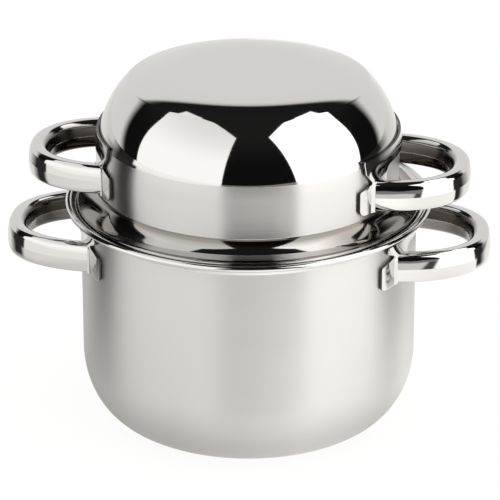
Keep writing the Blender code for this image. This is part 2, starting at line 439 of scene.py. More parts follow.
class NodeTree:
    """Node tree of a material or of the world, and the nodes that both are wired from."""

    def __init__(self, tree: bpy.types.NodeTree) -> None:
        """Take up the nodes and links of a tree."""
        self.nodes = tree.nodes
        self.links = tree.links

    def node(self, kind: str, **settings: object) -> bpy.types.Node:
        """Add a node.

        Args:
            kind: Type of the node.
            **settings: Properties of the node and their values.

        Returns:
            The new node.
        """
        node = self.nodes.new(kind)
        for setting, value in settings.items():
            setattr(node, setting, value)
        return node

    def feed(self, socket: Socket, value: Socket | float | tuple[float, ...]) -> None:
        """Give a socket its value.

        Args:
            socket: Input of a node.
            value: Number or tuple to set, or output to link.
        """
        if isinstance(value, (int, float, tuple)):
            socket.default_value = value
        else:
            self.links.new(value, socket)

    def math(self, operation: str, *values: Socket | float) -> Socket:
        """Work out a value from one, two or three others.

        Args:
            operation: Operation of the math node.
            *values: Numbers or outputs.

        Returns:
            Output with the result.
        """
        node = self.node("ShaderNodeMath", operation=operation)
        for socket, value in zip(node.inputs, values):
            self.feed(socket, value)
        return node.outputs[0]

    def ranged(
        self, value: Socket, span: Point, low: float = 0.0, high: float = 1.0,
        shape: str = "LINEAR",
    ) -> Socket:
        """Map a span of a value to a range, clamped at both ends.

        Args:
            value: Output to map.
            span: Ends of the span.
            low: Result at the span's first end.
            high: Result at its other end.
            shape: Kind of passage between the ends.

        Returns:
            Output with the result.
        """
        node = self.node("ShaderNodeMapRange", interpolation_type=shape)
        sockets = ("Value", "From Min", "From Max", "To Min", "To Max")
        for socket, number in zip(sockets, (value, *span, low, high)):
            self.feed(node.inputs[socket], number)
        return node.outputs["Result"]

    def mixed(self, share: Socket | float, first: Socket | float, second: Socket | float) -> Socket:
        """Blend two numbers.

        Args:
            share: Share of the second one.
            first: Output or number where the share is 0.
            second: Output or number where the share is 1.

        Returns:
            Output with the blend.
        """
        node = self.node("ShaderNodeMix")
        for socket, value in (("Factor", share), ("A", first), ("B", second)):
            self.feed(node.inputs[socket], value)
        return node.outputs["Result"]


class Shader(NodeTree):
    """Node tree of one finish, read on object coordinates."""

    NOISE_SPAN = (0.3, 0.7)
    QUARTER_TURN = 0.25

    def __init__(self, name: str, colour: Colour) -> None:
        """Start a bare metal.

        Args:
            name: Name of the material.
            colour: Reflected colour of the metal.
        """
        self.material = bpy.data.materials.new(name)
        self.material.use_nodes = True
        super().__init__(self.material.node_tree)
        self.metal = self.nodes["Principled BSDF"]
        self.feed(self.metal.inputs["Base Color"], (*colour, 1.0))
        self.feed(self.metal.inputs["Metallic"], 1.0)
        self.material.diffuse_color = (*colour, 1.0)
        self.place = self.node("ShaderNodeTexCoord").outputs["Object"]

    def split(self) -> list[Socket]:
        """Object coordinates one by one.

        Returns:
            Outputs with X, Y and Z.
        """
        split = self.node("ShaderNodeSeparateXYZ")
        self.feed(split.inputs[0], self.place)
        return list(split.outputs)

    def length(self, first: Socket, second: Socket) -> Socket:
        """Length of two parts at right angles."""
        squares = [self.math("POWER", part, 2.0) for part in (first, second)]
        return self.math("SQRT", self.math("ADD", *squares))

    def polar(self, spread: float) -> Socket:
        """Coordinates of turn, radius and height about the Z axis.

        Args:
            spread: Factor on the turn.

        Returns:
            Output with the coordinates.
        """
        right, away, up = self.split()
        turn = self.math("MULTIPLY", self.math("ARCTAN2", away, right), spread)
        joined = self.node("ShaderNodeCombineXYZ")
        for socket, value in zip(joined.inputs, (turn, self.length(right, away), up)):
            self.feed(socket, value)
        return joined.outputs[0]

    def noise(self, where: Socket, scale: tuple[float, ...], detail: float) -> Socket:
        """Noise between 0 and 1.

        Args:
            where: Coordinates that the noise is read on.
            scale: Scale along each of them.
            detail: Octaves of the noise.

        Returns:
            Output with the noise.
        """
        mapping = self.node("ShaderNodeMapping")
        self.feed(mapping.inputs["Scale"], scale)
        self.feed(mapping.inputs["Vector"], where)
        noise = self.node("ShaderNodeTexNoise")
        for name, value in (("Scale", 1.0), ("Detail", detail), ("Vector", mapping.outputs[0])):
            self.feed(noise.inputs[name], value)
        return noise.outputs["Fac"]

    def blended(self, first: Socket, second: Socket, share: float) -> Socket:
        """Add two noises up, the first by a share and the second by the rest."""
        return self.math("ADD", self.math("MULTIPLY", first, share),
                         self.math("MULTIPLY", second, 1.0 - share))

    def relief(self, height: Socket, distance: float, strength: float) -> None:
        """Bend the metal's normal by a bump.

        Args:
            height: Output with the height, between 0 and 1.
            distance: Height of the bump in metres.
            strength: Strength of the bump.
        """
        bump = self.node("ShaderNodeBump")
        for name, value in (("Distance", distance), ("Strength", strength), ("Height", height)):
            self.feed(bump.inputs[name], value)
        self.feed(self.metal.inputs["Normal"], bump.outputs[0])

    def round_brushing(self, amount: float) -> None:
        """Stretch the gloss across brush lines that run round the Z axis.

        Args:
            amount: Share of the stretch.
        """
        tangent = self.node("ShaderNodeTangent", direction_type="RADIAL", axis="Z")
        self.feed(self.metal.inputs["Anisotropic"], amount)
        self.feed(self.metal.inputs["Anisotropic Rotation"], self.QUARTER_TURN)
        self.feed(self.metal.inputs["Tangent"], tangent.outputs[0])


@dataclass(frozen=True)
class BrushedSteel:
    """Satin steel whose fine brush lines run round the pot."""

    name: str
    colour: Colour = STEEL
    roughness: float = 0.30
    contrast: float = 0.03
    stretch: float = 0.9
    lines: float = 0.000010
    line_strength: float = 0.35
    streak_spread: float = 0.02
    streak_scale: tuple[float, ...] = (60.0, 2600.0, 2600.0)
    streak_share: float = 0.7
    patch_scale: tuple[float, ...] = (28.0, 28.0, 60.0)

    def make(self) -> bpy.types.Material:
        """Build the material.

        Returns:
            The material.
        """
        shader = Shader(self.name, self.colour)
        streaks = shader.noise(shader.polar(self.streak_spread), self.streak_scale, detail=4.0)
        patches = shader.noise(shader.place, self.patch_scale, detail=3.0)
        mixed = shader.blended(streaks, patches, self.streak_share)
        rough = shader.ranged(mixed, Shader.NOISE_SPAN, self.roughness - self.contrast,
                              self.roughness + self.contrast)
        shader.feed(shader.metal.inputs["Roughness"], rough)
        shader.relief(streaks, self.lines, self.line_strength)
        shader.round_brushing(self.stretch)
        return shader.material


@dataclass(frozen=True)
class MirrorSteel:
    """Polished steel with hairline scratches and the faint waves of pressed sheet.

    A painted shade darkens and browns the steel, and roughens it a little, inside the loops and
    on the lid's flange, for the shade and the dark reflections there. It comes in by the point
    attribute "inward".
    """

    name: str
    colour: Colour = STEEL
    roughness: float = 0.035
    wave_size: float = 90.0
    wave: float = 0.00003
    scratch: float = 0.02
    painted_shade: Colour | None = None
    dull: float = 0.10
    shade_span: Point = (0.30, 0.75)
    hair_scale: tuple[float, ...] = (900.0, 5200.0, 7400.0)
    haze_scale: tuple[float, ...] = (70.0, 70.0, 70.0)
    scratch_span: Point = (0.42, 0.66)

    def make(self) -> bpy.types.Material:
        """Build the material.

        Returns:
            The material.
        """
        shader = Shader(self.name, self.colour)
        hairs = shader.noise(shader.place, self.hair_scale, detail=5.0)
        haze = shader.noise(shader.place, self.haze_scale, detail=3.0)
        mixed = shader.blended(hairs, haze, share=0.5)
        rough = shader.ranged(mixed, self.scratch_span, self.roughness,
                              self.roughness + self.scratch)
        if self.painted_shade is not None:
            # Painted shade: darker, browner and a little rougher where the attribute is high.
            inward = shader.node("ShaderNodeAttribute", attribute_name="inward")
            share = shader.ranged(inward.outputs["Fac"], self.shade_span)
            blend = shader.node("ShaderNodeMix", data_type="RGBA")
            # The colours of a mix node are its inputs 6 and 7 and its output 2.
            colours = (0, share), (6, (*self.colour, 1.0)), (7, (*self.painted_shade, 1.0))
            for index, value in colours:
                shader.feed(blend.inputs[index], value)
            shader.feed(shader.metal.inputs["Base Color"], blend.outputs[2])
            rough = shader.math("ADD", rough, shader.math("MULTIPLY", share, self.dull))
        shader.feed(shader.metal.inputs["Roughness"], rough)
        waves = shader.noise(shader.place, (self.wave_size,) * 3, detail=1.0)
        shader.relief(waves, self.wave, strength=1.0)
        return shader.material


class Finishes:
    """Every finish of the pot, made once."""

    def __init__(self) -> None:
        """Build the materials."""
        self.wall = BrushedSteel("satin_wall", roughness=0.42, stretch=0.8).make()
        self.inside = BrushedSteel("satin_inside", roughness=0.34, stretch=0.8).make()
        self.base = BrushedSteel("turned_base", roughness=0.36, lines=0.00003).make()
        self.lid_wall = BrushedSteel("satin_lid_wall", roughness=0.34, stretch=1.0).make()
        self.dome = MirrorSteel("polished_dome", roughness=0.03, wave_size=25.0,
                                wave=0.000012).make()
        self.rim = MirrorSteel("polished_rim", roughness=0.06, wave_size=60.0,
                               wave=0.00002).make()
        # The loops get a dark brown painted shade inside.
        self.loop = MirrorSteel("polished_loop", wave_size=75.0, wave=0.00014,
                                painted_shade=(0.095, 0.082, 0.072)).make()
        self.plate = MirrorSteel("polished_plate", roughness=0.08, wave_size=120.0,
                                 wave=0.00006).make()
        # Painted shade of the weld gap, for the rims of the wall plates.
        self.edge = MirrorSteel("cut_edge", (0.10, 0.095, 0.09), roughness=0.25,
                                wave_size=900.0, wave=0.00002).make()
        # The flange's steel is painted darker for its dark reflections, and gets painted shade as
        # well.
        self.flange = MirrorSteel("polished_flange", (0.53, 0.52, 0.50), roughness=0.05,
                                  wave_size=60.0, wave=0.00002, painted_shade=(0.24, 0.22, 0.20),
                                  dull=0.03).make()


# Sub-assemblies


@dataclass(frozen=True)
class HandlePlace:
    """Where a pair of handles stands: its body, the wall there, and its height and turn.

    The band is the wall's outer line about the handles' middle height, set out by the weld gap.
    """

    body: Body
    wall_radius: float
    height: float
    turn: float
    band: tuple[Point, ...]


@dataclass
class PotShell:
    """Drawn pot: flat base, rounded heel, straight wall, flared lip and rolled bead."""

    radius: float = 0.0800
    height: float = 0.1102
    sheet: float = 0.0009
    base_thickness: float = 0.0012
    base_flat: float = 0.0560
    heel_height: float = 0.0343
    lip_radius: float = 0.0050
    lip_turn: float = math.radians(98.0)
    bead_radius: float = 0.00145
    polish_depth: float = 0.0072
    handle_depth: float = 0.0203

    FLAT_STEPS = 10
    WALL_STEPS = 12
    LIP_STEP = math.radians(4)
    BEAD_STEP = math.radians(9)
    BAND_REACH = 0.02
    FACES_UP = 0.5
    FACES_DOWN = -0.98

    @property
    def lip_middle(self) -> float:
        """Radius of the lip's middle line."""
        return self.lip_radius + self.sheet / 2

    @property
    def lip_centre(self) -> Point:
        """Centre of the lip's flare in the section."""
        up = self.height - self.bead_radius - self.lip_middle * math.sin(self.lip_turn)
        return self.radius + self.lip_radius, up

    def section(self) -> list[Point]:
        """Section of the sheet: up the inside, round the bead and down the outside.

        Returns:
            Points of the section, from the axis and back to it.
        """
        inner = self.radius - self.sheet
        heel = (self.base_flat, self.heel_height)
        lip = self.lip_centre
        top = self.lip_radius + self.sheet
        top_end = math.pi - self.lip_turn + Outline.meet(top, self.lip_middle, self.bead_radius)
        low_end = math.pi - self.lip_turn + Outline.meet(
            self.lip_radius, self.lip_middle, self.bead_radius
        )
        bead = (
            lip[0] - self.lip_middle * math.cos(self.lip_turn),
            lip[1] + self.lip_middle * math.sin(self.lip_turn),
        )
        outline = Outline().add(0.0, self.base_thickness)
        outline.line(self.base_flat, self.base_thickness, self.FLAT_STEPS)
        outline.arc(heel, (inner - heel[0], heel[1] - self.base_thickness), -math.pi / 2, 0.0)
        outline.line(inner, lip[1], self.WALL_STEPS)
        outline.arc(lip, (top, top), math.pi, top_end, self.LIP_STEP)
        last = outline.points[-1]
        start = math.atan2(last[1] - bead[1], last[0] - bead[0])
        low = Outline.circle(lip, self.lip_radius, low_end)
        end = math.atan2(low[1] - bead[1], low[0] - bead[0])
        outline.arc(bead, (self.bead_radius, self.bead_radius), start, end, self.BEAD_STEP)
        outline.arc(lip, (self.lip_radius, self.lip_radius), low_end, math.pi, self.LIP_STEP)
        outline.line(self.radius, self.heel_height, self.WALL_STEPS)
        outline.arc(heel, (self.radius - heel[0], heel[1]), 0.0, -math.pi / 2)
        outline.line(0.0, 0.0, self.FLAT_STEPS)
        return outline.points

    def build(self) -> Piece:
        """Turn the shell."""
        return TurnedSheet.turn("pot_shell", self.section())

    def handle_place(self) -> HandlePlace:
        """Where the pot's handles are welded on.

        Returns:
            The place, with a straight band of the wall.
        """
        out = self.radius + WELD_GAP
        band = ((out, -self.BAND_REACH), (out, self.BAND_REACH))
        return HandlePlace(Body.POT, self.radius, self.height - self.handle_depth, 0.0, band)

    def dress(self, piece: Piece, finishes: Finishes) -> None:
        """Paint wall, inside, base and rim, and hang the shell on the pot's body.

        Args:
            piece: The shell.
            finishes: Finishes of the pot.
        """
        polish_low = self.height - self.polish_depth
        Bench.paint(piece, finishes.wall, Bench.everywhere)
        Bench.paint(piece, finishes.inside, lambda centre, normal: (
            centre.to_2d().dot(normal.to_2d()) < 0 or normal.z > self.FACES_UP
        ))
        Bench.paint(piece, finishes.base, lambda centre, normal: normal.z < self.FACES_DOWN)
        Bench.paint(piece, finishes.rim, lambda centre, normal: centre.z > polish_low)
        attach(piece, Body.POT.value)
        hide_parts("pot_body")


@dataclass(frozen=True)
class FlangeShade:
    """How much painted shade the lid's flange shows, by depth and by side.

    The depth runs from 0 at the wall to 1 at the hem. The side is 1 next to the handles and 0
    half-way between them.
    """

    upper: float = 1.1
    fall: float = 1.3
    between: float = 0.2
    rise: float = 2.2
    start: float = 0.45
    most: float = 0.68

    def at(self, depth: float, side: float) -> float:
        """Painted shade at a depth and a side."""
        beside = min(self.most, self.between + self.rise * (side - self.start))
        return max(self.upper - self.fall * depth, beside)


@dataclass
class LidShell:
    """Drawn lid: flat crown, polished shoulder, satin wall and mirror flange with a hem."""

    pot: PotShell
    sheet: float = 0.0008
    hem_radius: float = 0.0008
    seat_angle: float = math.radians(54.0)
    seat_gap: float = 0.0003
    flange_width: float = 0.0095
    flange_rise: float = 0.0076
    wall_height: float = 0.0182
    shoulder_radius: float = 0.0459
    shoulder_end: float = math.radians(45.5)
    corner_radius: float = 0.0036
    corner_end: float = math.radians(71.2)
    crown_radius: float = 0.0755
    satin_top: float = 0.1426
    turn: float = math.radians(-4.15)
    handle_rise: float = 0.0176
    # Painted shade of the flange, by depth and by side.
    painted_shade: FlangeShade = FlangeShade()

    CROWN_STEPS = 8
    WALL_STEPS = 10
    HEM_STEP = math.radians(12)
    HEM_END = -math.pi * 5 / 6
    BAND_END = math.radians(20.0)
    BAND_STEP = math.radians(0.5)
    FLANGE_MARGIN = 0.0001
    INSIDE_MARGIN = 0.002

    @property
    def hem(self) -> Point:
        """Centre of the hem.

        Returns:
            The centre as (radius, height).
        """
        lip = self.pot.lip_centre
        reach = self.pot.lip_radius + self.pot.sheet + self.seat_gap + self.hem_radius
        return (
            lip[0] - reach * math.cos(self.seat_angle),
            lip[1] + reach * math.sin(self.seat_angle),
        )

    @property
    def radius(self) -> float:
        """Radius of the wall."""
        return self.hem[0] - self.flange_width

    @property
    def wall_base(self) -> float:
        """Height at which the flange runs into the wall."""
        return self.hem[1] + self.hem_radius + self.flange_rise

    @property
    def wall_top(self) -> float:
        """Height at which the wall runs into the shoulder."""
        return self.wall_base + self.wall_height

    def dome(self, outline: Outline, inset: float, inwards: bool) -> None:
        """Draw shoulder, corner and crown, set in by a depth.

        Args:
            outline: Section that the arcs are added to.
            inset: Depth below the outer face.
            inwards: True from the wall to the crown, False the other way.
        """
        shoulder = (self.radius - self.shoulder_radius, self.wall_top)
        step = self.shoulder_radius - self.corner_radius
        corner = Outline.circle(shoulder, step, self.shoulder_end)
        step = self.corner_radius - self.crown_radius
        crown = Outline.circle(corner, step, self.corner_end)
        arcs = [
            (shoulder, self.shoulder_radius - inset, 0.0, self.shoulder_end, 1.0),
            (corner, self.corner_radius - inset, self.shoulder_end, self.corner_end, 2.0),
            (crown, self.crown_radius - inset, self.corner_end, math.pi / 2, 1.0),
        ]
        if not inwards:
            arcs = [(spot, size, end, start, step) for spot, size, start, end, step in arcs[::-1]]
        for centre, radius, start, end, degrees in arcs:
            outline.arc(centre, (radius, radius), start, end, math.radians(degrees))

    def section(self) -> list[Point]:
        """Section of the sheet: down the outside, round the hem and up the inside.

        Returns:
            Points of the section, from the axis and back to it.
        """
        inner = Outline()
        self.dome(inner, self.sheet, True)
        outer = Outline()
        self.dome(outer, 0.0, False)
        flange = (self.hem[0], self.wall_base)
        under = (self.flange_width + self.sheet, self.flange_rise + self.sheet)
        under_start = math.pi + math.acos(self.hem_radius / under[0])
        outline = Outline().add(0.0, outer.points[0][1])
        outline.line(*outer.points[0], self.CROWN_STEPS)
        for point in outer.points:
            outline.add(*point)
        outline.line(self.radius, self.wall_base, self.WALL_STEPS)
        outline.arc(flange, (self.flange_width, self.flange_rise), math.pi, 1.5 * math.pi)
        outline.arc(self.hem, (self.hem_radius, self.hem_radius), math.pi / 2,
                    self.HEM_END, self.HEM_STEP)
        outline.arc(flange, under, under_start, math.pi)
        outline.line(self.radius - self.sheet, self.wall_top, self.WALL_STEPS)
        for point in inner.points:
            outline.add(*point)
        outline.line(0.0, inner.points[-1][1], self.CROWN_STEPS)
        return outline.points

    def band(self, gap: float) -> list[Point]:
        """Outer line of the wall and the low shoulder, set out by a gap.

        Args:
            gap: Distance from the sheet.

        Returns:
            Points of the line, from the flange upwards.
        """
        outline = Outline().add(self.radius + gap, self.wall_base)
        shoulder = (self.radius - self.shoulder_radius, self.wall_top)
        out = self.shoulder_radius + gap
        outline.arc(shoulder, (out, out), 0.0, self.BAND_END, self.BAND_STEP)
        return outline.points

    def build(self) -> Piece:
        """Turn the shell and mark the painted shade of its flange.

        Returns:
            The shell, with the painted shade of its flange as a point attribute.
        """
        piece = TurnedSheet.turn("lid_shell", self.section())
        marks = piece.data.attributes.new(name="inward", type="FLOAT", domain="POINT")
        for vertex, mark in zip(piece.data.vertices, marks.data):
            depth = (self.wall_base - vertex.co.z) / self.flange_rise
            if depth > 0:
                side = abs(vertex.co.x) / vertex.co.to_2d().length
                mark.value = self.painted_shade.at(depth, side)
        return piece

    def handle_place(self) -> HandlePlace:
        """Where the lid's handles are welded on.

        Returns:
            The place, with a band of the wall and the low shoulder.
        """
        height = self.hem[1] + self.handle_rise
        band = tuple((across, up - height) for across, up in self.band(WELD_GAP))
        return HandlePlace(Body.LID, self.radius, height, self.turn, band)

    def dress(self, piece: Piece, finishes: Finishes) -> None:
        """Paint dome, wall, flange and inside, and hang the shell on the lid's body.

        Args:
            piece: The shell.
            finishes: Finishes of the pot.
        """
        flange_top = self.wall_base - self.FLANGE_MARGIN
        inside_low = self.hem[1] + self.INSIDE_MARGIN
        Bench.paint(piece, finishes.dome, Bench.everywhere)
        Bench.paint(piece, finishes.lid_wall, lambda centre, normal: centre.z < self.satin_top)
        Bench.paint(piece, finishes.flange, lambda centre, normal: centre.z < flange_top)
        Bench.paint(piece, finishes.inside, lambda centre, normal: (
            centre.to_2d().normalized().dot(normal.to_2d()) + normal.z < 0
            and centre.z > inside_low
        ))
        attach(piece, Body.LID.value)
        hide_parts("lid_bowl")


@dataclass(frozen=True)
class HandleSizes:
    """Sizes of one loop handle and its wall plate."""

    reach: float
    width: float
    taper: float
    squareness: float
    height: float
    ear_width: float
    ear_top: float
    ear_corner: float
    notch_rise: float
    strap_low: float
    strap_top: float
    strap_overhang: float
    strap_corners: Point = (0.001, 0.0012)
    opening_corner: float = 0.0045
    foot_corner: float = 0.0006
    brow_corner: float = 0.0009
    notch_corner: float = 0.0006
    notch_step: float = 0.001


@dataclass(frozen=True)
class HalfSection:
    """Section of one half-shell, from its outer seam round to its inner seam.

    The bends are (radius, heading in degrees at the end), starting from the seam's heading. The
    groove is the depth and the half width of the inner seam.
    """

    seam_heading: float
    bends: tuple[Point, ...]
    groove: Point


UPPER_HALF = HalfSection(
    seam_heading=5.0,
    bends=((0.0410, 12.0), (0.0026, 84.0), (0.0100, 100.0), (0.0042, 160.0), (0.0180, 171.0)),
    groove=(0.0004, 0.00025),
)
LOWER_HALF = HalfSection(
    seam_heading=1.0,
    bends=((0.0700, 4.0), (0.0135, 13.0), (0.0013, 84.0), (0.0218, 97.0), (0.0036, 172.0)),
    groove=(0.0004, 0.00022),
)


@dataclass
class LoopHandles:
    """Two opposite loops, each of two pressed half-shells on a curved wall plate.

    The two shares of painted shade are for inside the upper and the lower half-shell.
    """

    sizes: HandleSizes
    place: HandlePlace
    thickness: float = 0.0100
    sheet: float = 0.0008
    plate_sheet: float = 0.0012
    gap: float = WELD_GAP
    upper: HalfSection = UPPER_HALF
    lower: HalfSection = LOWER_HALF
    shade_shares: Point = (1.0, 1.0)
    flare: float = 0.0018
    dimple: float = 0.0016
    dimple_depth: float = 0.00003
    dimples: tuple[Point, ...] = ((0.0060, -0.0025), (0.0060, 0.0017))
    stations: int = 128
    bevel: float = 0.0003

    ROOT_STEPS = 8
    ROOT_STEP = 0.0008
    SECTION_TURN = math.radians(9.0)
    SECTION_STEP = 0.0006
    SEAM_STEPS = 5
    STRAIGHT = 1e-7
    DRUM_SIDES = 720
    DRUM_DEPTH = 0.05
    OVERLAP = 0.00005
    OPENING_MIDDLE = 0.35
    SIDE_GAPS = 3
    FLARE_SHARES = (0.0, 0.03, 0.1, 0.2, 0.35, 0.55, 0.8, 1.0)
    FINE_GRID = 0.0004
    STRAP_GRID = 0.001
    COARSE_GRID = 0.0012
    FRONT_SHARE = 0.8
    BEVEL_ANGLE = math.radians(50.0)
    GAP_SHADE_FACING = 0.55
    SMOOTH_ANGLE = 38.0

    def path(self) -> list[tuple[Vector, float]]:
        """Places along the loop's outer line, each with the heading of the line.

        Returns:
            Pairs of a place and a heading in radians, from one root to the other.
        """
        sizes = self.sizes
        across = sizes.width / 2
        root = math.sqrt(self.place.wall_radius**2 - across**2)
        along = self.place.wall_radius + sizes.reach - root
        behind = [root - self.ROOT_STEP * step for step in range(1, self.ROOT_STEPS + 1)]
        places = [Vector((spot, -across, 0.0)) for spot in reversed(behind)]
        for step in range(self.stations + 1):
            angle = math.pi * (step / self.stations - 0.5)
            forward = abs(math.cos(angle) / along) ** sizes.squareness
            sideways = abs(math.sin(angle) / across) ** sizes.squareness
            distance = (forward + sideways) ** (-1 / sizes.squareness)
            out = distance * math.cos(angle)
            narrowing = 1 - sizes.taper * out / along
            places.append(Vector((root + out, distance * math.sin(angle) * narrowing, 0.0)))
        places += [Vector((spot, across, 0.0)) for spot in behind]
        route = []
        for index, place in enumerate(places):
            run = places[min(index + 1, len(places) - 1)] - places[max(index - 1, 0)]
            route.append((place, math.atan2(run.y, run.x)))
        return route

    def section(self, half: HalfSection) -> list[Point]:
        """Outline of one half of the tube, from the outer seam over to the inner seam.

        The outer face leans in towards its ridge, the ridge turns to the nearly flat top, and a
        soft roll runs down to the groove of the inner seam.

        Args:
            half: Bends and groove of the half.

        Returns:
            Points as (across, up), from the outer seam at the origin.
        """
        outline = Outline().add(0.0, 0.0)
        heading = math.radians(half.seam_heading)
        for radius, degrees in half.bends:
            step = min(self.SECTION_TURN, self.SECTION_STEP / radius)
            outline.bend(radius, heading, math.radians(degrees), step)
            heading = math.radians(degrees)
        outline.line(-self.thickness, half.groove[1], self.SEAM_STEPS)
        outline.add(half.groove[0] - self.thickness, 0.0)
        return outline.points

    def sweep(self, name: str, half: HalfSection) -> Piece:
        """Draw a half's section at one root and extrude it round the loop.

        Args:
            name: Name of the piece.
            half: Section of the half-shell.

        Returns:
            The half's outer face, left in edit mode.
        """
        route = self.path()
        place, heading = route[0]
        line = [place + Vector((0.0, -across, up)) for across, up in self.section(half)]
        piece = Bench.start_point(name, line[0])
        Bench.draw_line(line)
        bpy.ops.mesh.select_all(action="SELECT")
        for after, next_heading in route[1:]:
            bpy.ops.mesh.extrude_region_move(
                TRANSFORM_OT_translate={"value": tuple(after - place)}
            )
            bend = next_heading - heading
            if abs(bend) > self.STRAIGHT:
                bpy.ops.transform.rotate(
                    value=-bend,
                    orient_axis="Z",
                    orient_type="GLOBAL",
                    center_override=tuple(after),
                )
            place, heading = after, next_heading
        return piece

    def build_half(self, name: str, half: HalfSection, painted_shade: float) -> Piece:
        """Model a half-shell of the right-hand loop above its middle height.

        Args:
            name: Name of the piece.
            half: Section of the half-shell.
            painted_shade: Share of painted shade inside the loop.

        Returns:
            The half-shell, open at the seam and trimmed to the wall plate.
        """
        piece = self.sweep(name, half)
        bpy.ops.mesh.select_all(action="SELECT")
        bpy.ops.mesh.normals_make_consistent(inside=False)
        Bench.clear()
        if max(piece.data.polygons, key=lambda face: face.center.z).normal.z < 0:
            Bench.flip(piece)
        Bench.apply(piece, "SOLIDIFY", thickness=self.sheet, offset=-1.0, use_even_offset=True)
        Bench.clear()
        radius = self.place.wall_radius + self.gap + self.plate_sheet - self.OVERLAP
        bpy.ops.mesh.primitive_cylinder_add(
            vertices=self.DRUM_SIDES, radius=radius, depth=self.DRUM_DEPTH
        )
        drum = bpy.context.object
        Bench.apply(piece, "BOOLEAN", operation="DIFFERENCE", solver="EXACT", object=drum)
        Bench.remove(drum)
        self.mark_painted_shade(piece, painted_shade)
        return Bench.finish(piece, self.SMOOTH_ANGLE)

    def mark_painted_shade(self, piece: Piece, painted_shade: float) -> None:
        """Store at each point its painted shade, by how far its face looks into the loop's opening.

        Args:
            piece: Half-shell of the right-hand loop.
            painted_shade: Share of painted shade where a face looks straight in.
        """
        middle = self.place.wall_radius + self.sizes.reach * self.OPENING_MIDDLE
        marks = piece.data.attributes.new(name="inward", type="FLOAT", domain="POINT")
        for vertex, mark in zip(piece.data.vertices, marks.data):
            aim = Vector((vertex.co.x - middle, vertex.co.y)).normalized()
            mark.value = painted_shade * max(0.0, -vertex.normal.to_2d().dot(aim))

    def plate_outline(self) -> list[Point]:
        """Outline of the wall plate about the loop's middle height.

        Returns:
            Points as (across, up), once round the plate.
        """
        sizes = self.sizes
        arm = sizes.width / 2
        inside = arm - self.thickness - self.SIDE_GAPS * self.gap
        low = -sizes.height / 2
        ear = arm + sizes.ear_width
        strap = arm + sizes.strap_overhang
        notch = (arm, sizes.height / 2 + sizes.notch_rise)
        corners = (
            ((inside, sizes.strap_low), sizes.opening_corner),
            ((inside, low), sizes.foot_corner),
            ((ear, low), sizes.ear_corner),
            ((ear, sizes.ear_top), sizes.brow_corner),
            (notch, sizes.notch_corner),
            ((strap, sizes.strap_low + sizes.notch_step), sizes.strap_corners[0]),
            ((strap, sizes.strap_top), sizes.strap_corners[1]),
        )
        end = (0.0, sizes.strap_top)
        outline = Outline().add(0.0, sizes.strap_low)
        for (spot, radius), after in zip(corners, [spot for spot, _ in corners[1:]] + [end]):
            outline.corner(spot, after, radius)
        outline.add(*end)
        half = outline.points
        return half + [(-across, up) for across, up in half[-2::-1]]

    def grid(self) -> None:
        """Cut the filled outline into a grid, fine over the ears."""
        sizes = self.sizes
        arm, ear = sizes.width / 2, sizes.width / 2 + sizes.ear_width
        lines = [arm + self.flare * share for share in self.FLARE_SHARES]
        for step in range(math.ceil(arm / self.STRAP_GRID)):
            lines.append(arm - self.gap - self.STRAP_GRID * step)
        spot = arm + self.flare + self.FINE_GRID
        while spot < ear:
            lines.append(spot)
            spot += self.FINE_GRID
        levels = []
        level = -sizes.height / 2 + self.FINE_GRID
        while level < sizes.strap_top:
            levels.append(level)
            level += self.FINE_GRID if level < sizes.ear_top else self.COARSE_GRID
        cuts = [((0.0, sign * line, 0.0), (0.0, 1.0, 0.0)) for line in lines for sign in (1, -1)]
        cuts += [((0.0, 0.0, level), (0.0, 0.0, 1.0)) for level in levels]
        for point, normal in cuts:
            bpy.ops.mesh.select_all(action="SELECT")
            bpy.ops.mesh.bisect(plane_co=point, plane_no=normal)

    def raise_spots(self, piece: Piece) -> None:
        """Flare the ears up to the arms and sink the weld dimples into them.

        Args:
            piece: Plate that already has its thickness.
        """
        arm = self.sizes.width / 2
        front = self.place.wall_radius + self.gap + self.plate_sheet * self.FRONT_SHARE
        flare = piece.vertex_groups.new(name="flare")
        dents = piece.vertex_groups.new(name="dents")
        for vertex in piece.data.vertices:
            if vertex.co.to_2d().length < front and vertex.co.z < self.sizes.strap_low:
                continue
            out = abs(vertex.co.y) - arm
            level = vertex.co.z
            if -self.FINE_GRID < out < self.flare and level < self.sizes.height / 2:
                share = 1.0 - max(out, 0.0) / self.flare
                flare.add([vertex.index], 1.0 - math.sqrt(1.0 - share**2), "REPLACE")
            for across, up in self.dimples:
                share = math.hypot(out - across, level - up) / self.dimple
                if share < 1.0:
                    dents.add([vertex.index], (1.0 - share**2) ** 2, "REPLACE")
        Bench.apply(piece, "DISPLACE", direction="X", mid_level=0.0, strength=self.flare,
                    vertex_group="flare")
        Bench.apply(piece, "DISPLACE", direction="NORMAL", mid_level=0.0,
                    strength=-self.dimple_depth, vertex_group="dents")

    def build_plate(self, name: str) -> Piece:
        """Model the wall plate of the right-hand handle about the loop's middle height.

        Args:
            name: Name of the piece.

        Returns:
            The plate, curved to the wall, with flared ears and weld dimples.
        """
        start = self.place.wall_radius
        line = [Vector((start, across, up)) for across, up in self.plate_outline()]
        piece = Bench.start_point(name, line[0])
        Bench.draw_line(line)
        bpy.ops.mesh.select_all(action="SELECT")
        bpy.ops.mesh.remove_doubles(threshold=Bench.TOUCHING)
        bpy.ops.mesh.edge_face_add()
        self.grid()
        Bench.clear()
        if piece.data.polygons[0].normal.x < 0:
            Bench.flip(piece)
        band = TurnedSheet.turn("band", list(self.place.band), TurnedSheet.FINE_STEPS)
        Bench.apply(piece, "SHRINKWRAP", wrap_method="PROJECT", use_project_x=True,
                    use_negative_direction=True, use_positive_direction=True, target=band)
        Bench.remove(band)
        Bench.apply(piece, "SOLIDIFY", thickness=self.plate_sheet, offset=1.0)
        Bench.apply(piece, "BEVEL", width=self.bevel, segments=3, limit_method="ANGLE",
                    angle_limit=self.BEVEL_ANGLE)
        self.raise_spots(piece)
        return Bench.finish(piece, self.SMOOTH_ANGLE)

